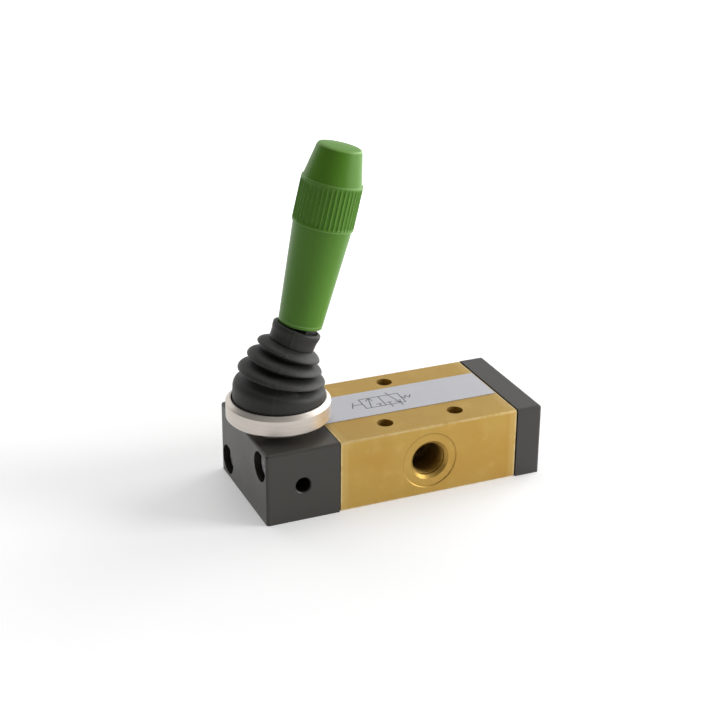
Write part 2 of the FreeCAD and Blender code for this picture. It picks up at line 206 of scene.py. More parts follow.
class Finish:
    """One surface finish; a keyword such as base_color sets that socket for the whole surface."""

    def __init__(self, name, **constants):
        self.material = bpy.data.materials.new(name)
        self.material.use_nodes = True
        self.tree = self.material.node_tree
        self.shader = self.tree.nodes["Principled BSDF"]
        self.place = self.add("ShaderNodeTexCoord", output="Object")
        for words, value in constants.items():
            self.feed(words.replace("_", " ").title().replace("Ior", "IOR"), value)

    def add(self, kind, settings=None, sockets=None, output=0):
        """Adds a node of that type; its settings come first, then its sockets."""
        node = self.tree.nodes.new(kind)
        for name, value in (settings or {}).items():
            setattr(node, name, value)
        for key, value in (sockets or {}).items():
            plug(self.tree, node.inputs[key], value)
        return Value(self.tree, node.outputs[output])

    def feed(self, socket, value):
        plug(self.tree, self.shader.inputs[socket], value)

    def stretched(self, scale, centre=(0.0, 0.0, 0.0)):
        """Object coordinates measured from a centre and multiplied by a scale on each axis."""
        shift = [-c * s for c, s in zip(centre, scale)]
        sockets = {"Vector": self.place, "Scale": scale, "Location": shift}
        return self.add("ShaderNodeMapping", None, sockets)

    def along(self, axis, vector=None):
        """X, Y or Z, as axis 0, 1 or 2, of a vector or else of the object coordinates."""
        return self.add("ShaderNodeSeparateXYZ", None, {0: vector or self.place}, axis)

    def length(self, vector):
        """How far a vector's tip is from the origin."""
        return self.add("ShaderNodeVectorMath", {"operation": "LENGTH"}, {0: vector}, 1)

    def towards(self, vector, way):
        """How far a vector reaches along a way: their dot product."""
        sockets = {0: vector, 1: tuple(way)}
        return self.add("ShaderNodeVectorMath", {"operation": "DOT_PRODUCT"}, sockets, 1)

    def noise(self, size, detail=2.0, at=None):
        """Cloudy noise from 0 to 1 whose lumps are about that size in metres."""
        sockets = {"Vector": at or self.place, "Scale": 1.0 / size, "Detail": detail,
                   "Roughness": noise_roughness}
        return self.add("ShaderNodeTexNoise", None, sockets)

    def step(self, value, low, high):
        """0 below low, 1 above high, and an S-shaped rise between them."""
        sockets = {"Value": value, "From Min": low, "From Max": high}
        return self.add("ShaderNodeMapRange", {"interpolation_type": "SMOOTHSTEP"}, sockets)

    def between(self, share, first, second):
        """Colour that goes from the first to the second as the share goes from 0 to 1."""
        return self.add("ShaderNodeMix", {"data_type": "RGBA"}, {0: share, 6: first, 7: second}, 2)

    def emboss(self, *layers):
        """Bump layers, each a (height, depth in metres) pair, one on top of the other."""
        normal = None
        for height, depth in layers:
            sockets = {"Height": height, "Distance": depth, "Strength": 1.0}
            if normal:
                sockets["Normal"] = normal
            normal = self.add("ShaderNodeBump", None, sockets)
        self.feed("Normal", normal)

    def inset(self, corners, axis):
        """How far inside a box a point is on one axis: half the box's size - |point - centre|."""
        centre = float(corners[0][axis] + corners[1][axis]) / 2
        return float(corners[1][axis]) - centre - abs(self.along(axis) - centre)

    def edge_mask(self, corners, width):
        """1 on the edges of a box and 0 a width away: the second smallest distance to its sides."""
        x, y, z = (self.inset(corners, axis) for axis in range(3))
        second = x.least(y).most(x.most(y).least(z))
        return 1.0 - self.step(second, 0.0, width)


print("finish class ready")

# %% [markdown]
# The studio is a white sweep with soft light. Rays that come straight from the camera see plain
# white. For all other rays the room is white at the back and dim at the front, as it is round a
# photographer's table: the dim front keeps black plastic black, and the white back draws a pale
# line along each outline.

# %% Room
world = bpy.data.worlds.new("studio")
world.use_nodes = True
bpy.context.scene.world = world
bpy.context.scene.view_settings.view_transform = "Standard"
no_light = (0.0, 0.0, 0.0)
full_light = (1.0, 1.0, 1.0)
room_front = 0.16
room_back = 0.82
room_rise = (-0.35, 0.75)
bright_way = (0.80, 0.50, 0.33)
diffuse_share = 0.6


def ray(finish, kind):
    """1 for rays of one kind, Camera, Glossy or Transmission, and 0 for the rest."""
    return finish.add("ShaderNodeLightPath", output="Is %s Ray" % kind)


class Room(Finish):
    """The world's node tree, with the same helpers as a finish."""

    def __init__(self, tree):
        self.tree = tree


room = Room(world.node_tree)
sky = world.node_tree.nodes["Background"]
sky.inputs["Strength"].default_value = 1.0
facing = room.add("ShaderNodeTexCoord", output="Generated")
wall = room.step(room.towards(facing, bright_way), *room_rise)
wall = wall * (room_back - room_front) + room_front
wall = wall * (diffuse_share + ray(room, "Glossy") * (1.0 - diffuse_share))
brightness = ray(room, "Camera").most(ray(room, "Transmission")).most(wall)
plug(world.node_tree, sky.inputs["Color"], room.between(brightness, no_light, full_light))
print("the room goes from %.2f in front to %.2f behind" % (room_front, room_back))

# %% [markdown]
# The floor is a matt white sheet that catches the shadow. A sheet that is only lit would look grey
# far from the lamps, so it also glows for the camera and for reflections, more with distance, and
# fades out to white.

# %% Floor
floor_lift_near = 0.30
floor_lift_far = 0.75
floor_rise = (0.06, 0.38)
floor_shine = 0.22
floor_colour = (0.80, 0.80, 0.80)
floor_half = 4.0
floor_mesh = bpy.data.meshes.new("studio_floor")
floor_corners = [(-floor_half, -floor_half, 0), (floor_half, -floor_half, 0),
                 (floor_half, floor_half, 0), (-floor_half, floor_half, 0)]
floor_mesh.from_pydata(floor_corners, [], [(0, 1, 2, 3)])
floor = bpy.data.objects.new("studio_floor", floor_mesh)
bpy.context.scene.collection.objects.link(floor)
paper = Finish("studio_paper", base_color=floor_colour, roughness=0.9, emission_strength=1.0)
far_off = paper.step(paper.length(paper.place), *floor_rise)
shown = ray(paper, "Camera").most(ray(paper, "Glossy")).most(ray(paper, "Transmission"))
lift = shown * (far_off * (floor_lift_far - floor_lift_near) + floor_lift_near)
lift = lift + ray(paper, "Glossy") * floor_shine
paper.feed("Emission Color", paper.between(lift, no_light, full_light))
floor.data.materials.append(paper.material)
print("floor of %.0f m" % (2 * floor_half))

# %% [markdown]
# Four soft lamps shape the valve: the main one at the right in front, and weaker ones at the right
# behind it, above it, and at the left far behind it, which draws the thin light line on the
# handle's left. Large lamps give soft edges to the shadow and broad, quiet highlights.

# %% Lamps
def lamp(name, place, aim, size, power):
    """Square soft lamp at a place, turned towards a point; power in watts."""
    light = bpy.data.lights.new(name, "AREA")
    light.size = size
    light.energy = power
    holder = bpy.data.objects.new(name, light)
    holder.location = place
    holder.rotation_euler = (Vector(aim) - Vector(place)).to_track_quat("-Z", "Y").to_euler()
    bpy.context.scene.collection.objects.link(holder)


valve_middle = (cad_box[0] + cad_box[1]) / 2
lamp("main_lamp", (0.68, -0.36, 0.34), valve_middle, 0.34, 4.5)
lamp("side_lamp", (0.56, 0.20, 0.26), valve_middle, 0.40, 2.0)
lamp("top_lamp", (-0.04, 0.10, 0.62), valve_middle, 0.42, 0.85)
lamp("left_lamp", (-0.32, 0.62, 0.28), valve_middle, 0.30, 0.50)

# %% [markdown]
# The camera stands where the photographer stood. Two angles say from where it looks, a third how
# far it leans, and a point with a distance says how far away it is.

# %% Camera
view_azimuth = math.radians(-23.51)
view_elevation = math.radians(23.92)
view_roll = math.radians(0.48)
view_centre = Vector((-22.03, -13.76, 49.24)) * mm
view_distance = 515.8 * mm
view_lens = 80.165

back = Vector((math.sin(view_azimuth) * math.cos(view_elevation),
               -math.cos(view_azimuth) * math.cos(view_elevation),
               math.sin(view_elevation)))
level = Vector((math.cos(view_azimuth), math.sin(view_azimuth), 0))
steep = back.cross(level)
right = level * math.cos(view_roll) + steep * math.sin(view_roll)
camera_data = bpy.data.cameras.new("camera")
camera_data.lens = view_lens
camera_data.clip_start = 0.01
camera_data.clip_end = 20.0
camera = bpy.data.objects.new("camera", camera_data)
camera_turn = Matrix([(right[k], back.cross(right)[k], back[k]) for k in range(3)]).to_4x4()
camera.matrix_world = Matrix.Translation(view_centre + back * view_distance) @ camera_turn
bpy.context.scene.collection.objects.link(camera)
bpy.context.scene.camera = camera
print("camera at", [round(c, 4) for c in camera.matrix_world.translation])

# %% [markdown]
# The body is a bar of aluminium, milled, then anodised gold. The dye is never quite even, so the
# colour drifts by a few percent in soft patches, and the drawn bar keeps faint streaks along its
# length. Handling rubs the edges paler. Deep in the bores the gold is painted dark, as painted
# shade, and near both ends of the bar it is painted paler, as a painted highlight. One even gold
# would look like paint; a mirror gold would look like jewellery. The finish is between the two:
# partly metallic and fairly rough. Round each port the face is cut back a little, and the step has
# a worn, rounded edge: a bump that is 0 within a distance of the port's axis and rises to 1 just
# outside it.

# %% Gold anodised aluminium
gold_dark = (0.420, 0.258, 0.048)
gold_light = (0.512, 0.330, 0.078)
gold_blush = (0.440, 0.235, 0.034)
gold_pale = (0.60, 0.42, 0.14)
gold_end_highlight = (0.66, 0.50, 0.22)
gold_streak = (0.62, 0.46, 0.20)
gold_bore_shade = (0.10, 0.058, 0.012)
gold_rubbed = (0.78, 0.66, 0.38)
drawn_along_x = (60.0, 2600.0, 2600.0)
spotface_r = 9.6 * mm
step_width = 0.5 * mm
step_height = 0.27 * mm


def outside_spotfaces(finish):
    """0 in the disc round each port, on that port's side of the body, and 1 everywhere else."""
    land = 1.0
    for mount in ports:
        radius = finish.length(finish.stretched((1.0, 0.0, 1.0), mount["pos_m"]))
        disc = 1.0 - finish.step(radius, spotface_r - step_width / 4,
                                 spotface_r + step_width * 3 / 4)
        near_side = finish.step(finish.along(1) * mount["axis"][1], 0.0, 1.0 * mm)
        land = land * (1.0 - disc * near_side)
    return land


def gold_anodised():
    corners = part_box("valve_body")
    finish = Finish("gold_anodised", metallic=0.72)
    cloud = finish.noise(9 * mm, 3.0)
    blush = finish.step(finish.noise(22 * mm, 1.0), 0.42, 0.72)
    streak = finish.noise(1.0, 2.0, finish.stretched(drawn_along_x))
    pale = finish.step(finish.noise(4.5 * mm, 5.0), 0.52, 0.74)
    # paler within about 3 mm of both ends of the bar: a painted highlight
    end_highlight = 1.0 - finish.step(finish.inset(corners, 0), 1.6 * mm, 3.2 * mm)
    # darker deep inside the bores: painted shade
    inside = finish.inset(corners, 1).least(finish.inset(corners, 2))
    bore_shade = finish.step(inside, 1.5 * mm, 6 * mm)
    edge = finish.edge_mask(corners, 0.9 * mm) * finish.step(finish.noise(2.5 * mm), 0.22, 0.55)
    shade = finish.between(cloud, gold_dark, gold_light)
    for share, colour in ((blush * 0.6, gold_blush), (pale * 0.20, gold_pale),
                          (end_highlight * 0.22, gold_end_highlight), (streak * 0.14, gold_streak),
                          (bore_shade * 0.75, gold_bore_shade), (edge * 0.55, gold_rubbed)):
        shade = finish.between(share, shade, colour)
    finish.feed("Base Color", shade)
    finish.feed("Roughness", 0.36 + streak * 0.14 + cloud * 0.06)
    grain = finish.noise(0.25 * mm, 2.0)
    finish.emboss((grain, 0.012 * mm), (streak, 0.010 * mm),
                  (outside_spotfaces(finish), step_height))
    return finish.material


print("port steps at a radius of %.1f mm" % (spotface_r / mm))

# %% [markdown]
# The ends are moulded in black plastic with a fine spark-eroded grain. The grain is a bump of a
# few hundredths of a millimetre that breaks the gloss up. Black is never zero: a little dust lifts
# it, most on the edges that hands and benches rub. The whole cap is painted lighter than the
# block: painted light, for the key lamp at the right that falls more on the cap.

# %% Black moulded plastic
black_dark = (0.015, 0.0125, 0.007)
black_light = (0.023, 0.019, 0.0115)
black_cap_light = (0.029, 0.019, 0.020)
black_dust = (0.055, 0.050, 0.043)
black_rubbed = (0.10, 0.098, 0.092)
edge_width = 1.0 * mm


def black_plastic():
    finish = Finish("black_plastic", specular_ior_level=0.40)
    cloud = finish.noise(11 * mm, 3.0)
    grain = finish.noise(0.22 * mm, 3.0)
    dust = finish.step(finish.noise(1.3 * mm, 4.0), 0.56, 0.78)
    block_edges = finish.edge_mask(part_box("lever_block"), edge_width)
    worn = block_edges.most(finish.edge_mask(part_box("end_cap"), edge_width))
    # the whole end cap painted lighter: painted light from the key lamp
    cap_light = finish.step(finish.along(0), 0.0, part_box("end_cap")[0][0])
    shade = finish.between(cloud, black_dark, black_light)
    for share, colour in ((cap_light * 0.4, black_cap_light), (dust * 0.25, black_dust),
                          (worn * 0.35, black_rubbed)):
        shade = finish.between(share, shade, colour)
    finish.feed("Base Color", shade)
    finish.feed("Roughness", 0.36 + cloud * 0.10 + dust * 0.10)
    finish.emboss((grain, 0.02 * mm))
    return finish.material


print("black plastic rubbed pale within %.1f mm of an edge" % (edge_width / mm))

# %% [markdown]
# The handle is green plastic with a soft gloss. Its colour is even, as moulded colour is, so the
# life comes from slight sink marks, which bend the reflections, and from a film of fine scratches
# round the grip that dulls the gloss. Four narrow rims are painted paler, as painted highlights
# where those edges catch the light: both ends of the fluted band, the edge of the flat top and the
# lip at the handle's foot. A point is on a rim when its height along the lever is close to the
# rim's.

# %% Green moulded plastic
green_dark = (0.077, 0.222, 0.009)
green_light = (0.098, 0.264, 0.014)
green_scratched = (0.20, 0.34, 0.12)
green_rim_highlight = (0.30, 0.52, 0.16)
band_from = 34.0 * mm
band_to = 48.5 * mm
handle_length = 59.7 * mm
rims = (1.3 * mm, band_from, band_to, handle_length - 0.3 * mm)
rim_rise = (0.10 * mm, 0.42 * mm)


def green_plastic():
    finish = Finish("green_plastic", specular_ior_level=0.27)
    foot = float(np.dot(pivot, lever_way) + handle_along.min())
    height = finish.towards(finish.place, lever_way) - foot
    off_rim = abs(height - rims[0])
    for rim_height in rims[1:]:
        off_rim = off_rim.least(abs(height - rim_height))
    # pale rims: painted highlights where the edges catch the light
    rim_highlight = 1.0 - finish.step(off_rim, *rim_rise)
    cloud = finish.noise(14 * mm, 2.0)
    scratch = finish.noise(1.0, 3.0, finish.stretched((900.0, 900.0, 140.0)))
    shade = finish.between(cloud, green_dark, green_light)
    shade = finish.between(scratch * 0.12, shade, green_scratched)
    finish.feed("Base Color", finish.between(rim_highlight * 0.42, shade, green_rim_highlight))
    finish.feed("Roughness", 0.36 + scratch * 0.12)
    sink_marks = finish.noise(6 * mm, 1.0)
    finish.emboss((sink_marks, 0.05 * mm), (finish.noise(0.3 * mm, 2.0), 0.006 * mm))
    return finish.material


print("pale rims at", [round(height / mm, 1) for height in rims], "mm along the handle")

# %% [markdown]
# The boot is matt black rubber. Its crests are painted greyer than its valleys: painted light on
# the crests and painted shade in the valleys. So the boot's mesh carries a number for each point,
# 0 in a valley and 1 on a crest, and the colour reads it. Plain nitrile for the hidden seals is the
# same rubber without the painted crests and the dust specks.

# %% Rubber
boot_dark = (0.011, 0.0118, 0.010)
boot_light = (0.019, 0.0192, 0.017)
boot_crest_light = (0.078, 0.075, 0.069)
boot_speck = (0.10, 0.097, 0.092)
seal_dark = (0.014, 0.014, 0.014)
seal_light = (0.026, 0.026, 0.025)


def boot_rubber():
    finish = Finish("boot_rubber", specular_ior_level=0.33)
    crest = finish.add("ShaderNodeAttribute", {"attribute_name": "crest"}, None, "Fac")
    cloud = finish.noise(3.5 * mm, 4.0)
    speck = finish.step(finish.noise(0.7 * mm, 3.0), 0.55, 0.75)
    shade = finish.between(cloud, boot_dark, boot_light)
    # crests painted greyer and valleys darker: painted light and painted shade
    shade = finish.between(crest * (0.25 + cloud * 0.5), shade, boot_crest_light)
    finish.feed("Base Color", finish.between(speck * crest * 0.3, shade, boot_speck))
    finish.feed("Roughness", 0.50 + cloud * 0.14)
    finish.emboss((finish.noise(0.35 * mm, 3.0), 0.03 * mm), (cloud, 0.06 * mm))
    return finish.material


def seal_rubber():
    finish = Finish("seal_rubber", specular_ior_level=0.5)
    cloud = finish.noise(1.2 * mm, 3.0)
    finish.feed("Base Color", finish.between(cloud, seal_dark, seal_light))
    finish.feed("Roughness", 0.38 + cloud * 0.15)
    finish.emboss((finish.noise(0.2 * mm), 0.01 * mm))
    return finish.material


print("boot rubber and seal rubber ready")

# %% [markdown]
# Metal that was turned on a lathe keeps the tool's path as fine rings. Squeezing the coordinates
# along the axis and stretching them round it turns plain noise into such rings. One function makes
# the plain turned metals, and each is told its colour and how rough it is. The nickel plate is a
# warm, nearly white metal with a satin face. The screws are zinc-plated steel with a duller face.

# %% Turned metals
about_z = (70.0, 70.0, 5200.0)
about_x = (5200.0, 70.0, 70.0)
neck_axis = tuple(pivot)
ring_depth = 0.012 * mm


def turned_metal(name, dark, light, rough, squeeze, centre=(0.0, 0.0, 0.0)):
    """Metal with tool rings: squeeze has a large number on the axis that it was turned about."""
    finish = Finish(name, metallic=1.0)
    rings = finish.noise(1.0, 3.0, finish.stretched(squeeze, centre))
    wider = [number * 0.28 + 60.0 for number in squeeze]
    bands = finish.noise(1.0, 2.0, finish.stretched(wider, centre))
    cloud = finish.noise(5 * mm, 3.0)
    stain = rings * 0.3 + finish.step(bands, 0.3, 0.7) * 0.4 + cloud * 0.3
    finish.feed("Base Color", finish.between(stain, dark, light))
    finish.feed("Roughness", rough + rings * 0.10 + cloud * 0.05)
    finish.emboss((rings, ring_depth))
    return finish.material


def nickel_plated():
    return turned_metal("nickel_plated", (0.46, 0.42, 0.375), (0.60, 0.555, 0.505), 0.37,
                        about_z, neck_axis)


def screw_steel():
    """Zinc plate on the screws; under the handle the same steel is painted near black: painted
    shade.
    """
    finish = Finish("screw_steel", metallic=0.4)
    rings = finish.noise(1.0, 3.0, finish.stretched(about_x))
    cloud = finish.noise(2 * mm, 3.0)
    zinc = finish.between(rings * 0.5 + cloud * 0.5, (0.36, 0.36, 0.37), (0.48, 0.48, 0.48))
    # near black above 38 to 48 mm, in the gap under the handle: painted shade
    under_handle_shade = finish.step(finish.along(2), 38 * mm, 48 * mm)
    finish.feed("Base Color", finish.between(under_handle_shade, zinc, (0.035, 0.034, 0.032)))
    finish.feed("Roughness", 0.40 + rings * 0.10 + cloud * 0.06)
    finish.emboss((rings, 0.01 * mm))
    return finish.material


def spring_steel():
    return turned_metal("spring_steel", (0.38, 0.38, 0.39), (0.55, 0.55, 0.56), 0.22,
                        about_z, neck_axis)


def spool_aluminium():
    return turned_metal("spool_aluminium", (0.60, 0.60, 0.62), (0.78, 0.78, 0.80), 0.20, about_x)


def brass():
    return turned_metal("brass", (0.62, 0.44, 0.17), (0.80, 0.62, 0.30), 0.26, about_x)


print("nickel, screw steel, spring steel, aluminium and brass ready")

# %% [markdown]
# The cages round the spool and the ball's seats are turned from white acetal. It shows the same
# tool rings as the metals do, but softer, because plastic gives way under the tool.

# %% White acetal
def white_acetal():
    finish = Finish("white_acetal", specular_ior_level=0.5)
    rings = finish.noise(1.0, 2.0, finish.stretched(about_x))
    finish.feed("Base Color", finish.between(rings, (0.72, 0.72, 0.68), (0.82, 0.82, 0.79)))
    finish.feed("Roughness", 0.36 + rings * 0.12)
    finish.emboss((rings, 0.01 * mm))
    return finish.material


print("white acetal ready")

# %% [markdown]
# The label is a thin silver film with a faint pearl of its own. It carries only the general symbol
# of such a valve: two squares for its two positions, an arrow for the open way and a bar for the
# shut one in each, a lever on the left and a spring on the right. Every line of the symbol is a
# distance: along and across a stroke, the larger of the two counts.

# %% Label film
label_dark = (0.48, 0.48, 0.52)
label_light = (0.55, 0.545, 0.585)
label_brushed = (0.62, 0.62, 0.65)
label_ink = (0.05, 0.05, 0.06)
symbol_centre = (-7.0 * mm, 1.8 * mm)
symbol_pen = 0.34 * mm
square = 7.2
upper = square / 2
lower = -square / 2
column = square / 4
bar_at = lower + square / 4
zigzag = column / 2
symbol_strokes = [
    # the two squares
    (-square, lower, square, lower), (-square, upper, square, upper),
    (-square, lower, -square, upper), (0, lower, 0, upper), (square, lower, square, upper),
    # the arrow and the bar in the left one
    (-3 * column, lower, -2 * column, upper), (-2 * column, upper, -2.9 * column, square / 4),
    (-2 * column, upper, -1.7 * column, square / 5),
    (-column, lower, -column, bar_at), (-1.5 * column, bar_at, -0.5 * column, bar_at),
    # the arrow and the bar in the right one
    (2 * column, upper, 3 * column, lower), (3 * column, lower, 2.2 * column, -square / 4),
    (3 * column, lower, 3.3 * column, -square / 5),
    (column, lower, column, bar_at), (0.5 * column, bar_at, 1.5 * column, bar_at),
    # the three pipes
    (2 * column, upper, 2 * column, 0.75 * square), (column, lower, column, -0.75 * square),
    (3 * column, lower, 3 * column, -0.75 * square),
    # the lever
    (-square - 2 * column, 0, -square, 0),
    (-square - 2.4 * column, -column, -square - 1.6 * column, column),
    # the spring
    (square, zigzag, square + zigzag, -zigzag),
    (square + zigzag, -zigzag, square + column, zigzag),
    (square + column, zigzag, square + 1.5 * column, -zigzag),
    (square + 1.5 * column, -zigzag, square + 2 * column, zigzag)]


def stroke_distance(finish, x0, y0, x1, y1):
    """How far a point is outside a line of no width: max(|along| - half length, |across|)."""
    middle = (symbol_centre[0] + (x0 + x1) / 2 * mm, symbol_centre[1] + (y0 + y1) / 2 * mm, 0.0)
    half = math.hypot(x1 - x0, y1 - y0) / 2 * mm
    slant = math.atan2(y1 - y0, x1 - x0)
    sockets = {"Vector": finish.place, "Location": middle, "Rotation": (0.0, 0.0, slant)}
    local = finish.add("ShaderNodeMapping", {"vector_type": "TEXTURE"}, sockets)
    return (abs(finish.along(0, local)) - half).most(abs(finish.along(1, local)))


def label_film():
    finish = Finish("label_film", metallic=0.35, specular_ior_level=0.5)
    cloud = finish.noise(8 * mm, 3.0)
    brushed = finish.noise(1.0, 2.0, finish.stretched((90.0, 4200.0, 90.0)))
    shade = finish.between(cloud, label_dark, label_light)
    shade = finish.between(brushed * 0.3, shade, label_brushed)
    distance = stroke_distance(finish, *symbol_strokes[0])
    for stroke in symbol_strokes[1:]:
        distance = distance.least(stroke_distance(finish, *stroke))
    ink = 1 - finish.step(distance, symbol_pen / 2, symbol_pen / 2 + 0.08 * mm)
    finish.feed("Base Color", finish.between(ink * 0.85, shade, label_ink))
    finish.feed("Roughness", 0.34 + brushed * 0.12)
    finish.emboss((cloud, 0.02 * mm), (brushed, 0.006 * mm))
    return finish.material


print("the label's symbol has", len(symbol_strokes), "strokes")

# %% [markdown]
# Each node of the frame arrives with a plain material that is named after its finish. Swapping it
# for the real one dresses the whole valve in one go. The plain ones are renamed first, which
# leaves their names free for the real ones.

# %% Dress the frame's nodes
makers = [gold_anodised, black_plastic, green_plastic, boot_rubber, seal_rubber, nickel_plated,
          screw_steel, spring_steel, spool_aluminium, brass, white_acetal, label_film]
for slot in [slot for slot in bpy.data.materials if slot.name != "studio_paper"]:
    slot.name = slot.name + "_plain"
finishes = {maker.__name__: maker() for maker in makers}
for node in frame["nodes"].values():
    for place in node.material_slots:
        place.material = finishes[place.material.name.replace("_plain", "")]
print("finishes:", len(finishes))

# %% [markdown]
# New pieces are surfaces on a grid. A function gives a point for each row and column, whole
# arrays at a time, and one helper joins neighbours into faces. Rows or columns that close on
# themselves are joined across the seam, and rings that shrink to a point are merged into one
# vertex.

# %% Grid helper
merge_within = 1e-7


def grid_piece(name, points, material, sharp_deg=35.0, closed_rows=True, attributes=None):
    """Mesh piece from a rows x columns x 3 array whose columns run all the way round."""
    rows, columns = points.shape[:2]
    index = np.arange(rows * columns).reshape(rows, columns)
    above = np.roll(index, -1, axis=0)
    beside = np.roll(index, -1, axis=1)
    corner = np.roll(above, -1, axis=1)
    faces = np.stack([index, beside, corner, above], axis=-1)
    if not closed_rows:
        faces = faces[:-1]
    mesh = bpy.data.meshes.new(name)
    mesh.from_pydata(points.reshape(-1, 3).tolist(), [], faces.reshape(-1, 4).tolist())
    for word, numbers in (attributes or {}).items():
        layer = mesh.attributes.new(word, "FLOAT", "POINT")
        layer.data.foreach_set("value", np.ascontiguousarray(numbers, np.float32).ravel())
    shape = bmesh.new()
    shape.from_mesh(mesh)
    bmesh.ops.remove_doubles(shape, verts=shape.verts, dist=merge_within)
    bmesh.ops.recalc_face_normals(shape, faces=shape.faces)
    shape.to_mesh(mesh)
    shape.free()
    mesh.shade_smooth()
    mesh.set_sharp_from_angle(angle=math.radians(sharp_deg))
    mesh.materials.append(finishes[material])
    piece = bpy.data.objects.new(name, mesh)
    bpy.context.scene.collection.objects.link(piece)
    print(name, "has", len(mesh.polygons), "faces")
    return piece


print("grid helper ready")

# %% [markdown]
# Most pieces of a valve are turned, so two more helpers serve lathe shapes. A profile is a short
# list of corners with a radius each, and the corners become arcs. Carried round an axis, the
# profile's points fill a grid: one row for each point and one column for each turn.

# %% Profile helpers
def arcs(corners, steps=6):
    """Outline of (radius, height, rounding) corners as an array of points, each corner an arc.

    A corner's arc is a quadratic curve from a point the rounding's length before the corner to one
    as far behind it, with the corner as its handle; a rounding of 0 keeps the corner sharp.
    """
    spots = np.array([corner[:2] for corner in corners], float)
    t = np.linspace(0, 1, steps)[:, None]
    line = []
    for k, (_, _, rounding) in enumerate(corners):
        here = spots[k]
        if rounding == 0:
            line.append(here[None])
            continue
        back_way = spots[k - 1] - here
        on_way = spots[(k + 1) % len(spots)] - here
        first = here + back_way / np.linalg.norm(back_way) * rounding
        last = here + on_way / np.linalg.norm(on_way) * rounding
        line.append((1 - t) ** 2 * first + 2 * t * (1 - t) * here + t ** 2 * last)
    return np.concatenate(line)


def turned(profile, columns, origin, way=upright):
    """Profile of (radius, height) carried round: origin + radius * side(turn) + height * way."""
    turns = np.linspace(0, 2 * math.pi, columns, endpoint=False)
    side = np.cross([0.0, 1.0, 0.0], way)
    across = np.cross(way, side)
    ring = np.cos(turns)[:, None] * side + np.sin(turns)[:, None] * across
    radius = profile[:, 0][:, None, None]
    height = profile[:, 1][:, None, None]
    return origin + radius * ring[None] + height * way


print("profile helpers ready")

# %% [markdown]
# The handle is a slim cone that widens upwards, with a fluted band under the thumb, a shorter
# cone above it and a flat top with a soft edge. It could be a lathe shape with a bump for the
# flutes, but flutes show in the outline, so they are cut for real: the radius in the band drops by
# the size of a sine. A power below one flattens the valleys and leaves narrow ridges between them.

# %% Handle
handle_foot = handle_along.min()
band_r = handle_out.max()
band_rim = 0.55 * mm
band_rows = 24
foot_r = 7.2 * mm
waist_r = 9.6 * mm
top_r = 7.2 * mm
crown = handle_length + 0.5 * mm
flutes = 42
flute_depth = 0.34 * mm
flute_power = 0.6
flute_fade = 0.5 * mm
not_zero = 1e-9


def handle_points():
    """Turned outline; in the band its radius is r - depth * |sin(flutes * turn / 2)| ** power."""
    body = arcs([(foot_r, 0, 0.7 * mm), (waist_r, band_from, 0.12 * mm),
                 (band_r, band_from, 0.18 * mm)])
    band_heights = np.linspace(band_from + band_rim, band_to - band_rim, band_rows)
    band = np.stack([np.full(band_rows, band_r), band_heights], axis=1)
    head = arcs([(band_r, band_to, 0.18 * mm), (waist_r, band_to, 0.12 * mm),
                 (top_r, handle_length, 0.9 * mm), (3 * mm, crown - 0.1 * mm, 2 * mm),
                 (0, crown, 0)])
    outline = np.concatenate([[[0.0, 0.0]], body[:-1], band, head[1:]])
    columns = flutes * 12
    turns = np.linspace(0, 2 * math.pi, columns, endpoint=False)
    points = turned(outline, columns, pivot + lever_way * handle_foot, lever_way)
    height = outline[:, 1]
    into_band = np.clip((height - band_from - band_rim) / flute_fade, 0, 1)
    into_band *= np.clip((band_to - band_rim - height) / flute_fade, 0, 1)
    wave = np.abs(np.sin(flutes * turns / 2)) ** flute_power
    drop = flute_depth * into_band[:, None] * wave[None]
    axis_foot = pivot + lever_way * handle_foot + height[:, None, None] * lever_way
    outward = points - axis_foot
    size = np.maximum(np.linalg.norm(outward, axis=2, keepdims=True), not_zero)
    return points - outward / size * drop[:, :, None]


handle = grid_piece("fluted_handle", handle_points(), "green_plastic", 30.0, closed_rows=False)
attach(handle, "lever")
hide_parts("handle_grip")

# %% [markdown]
# The screws have round heads with a hexagon socket, knurled round the side for the fingers. Each
# is one outline from the tip to the socket's floor. In the knurl the radius falls and rises with a
# cosine, 36 times a turn. In the socket the radius is half the width over the cosine of the turn
# from the nearest flat. The block's screws sit a little prouder than the cap's. A pair of screws
# lies on a diagonal, so the corners of the pair's box give both places.

# %% Screws
screw_head_r = 4.25 * mm
screw_shank_r = 2.5 * mm
cad_head_high = 5.0 * mm
socket_half = 2.0 * mm
knurls = 36
knurl_depth = 0.16 * mm
screw_pairs = (("block_screws", (1.0, 0.0, 0.0), 5.6 * mm),
               ("cap_screws", (-1.0, 0.0, 0.0), cad_head_high))


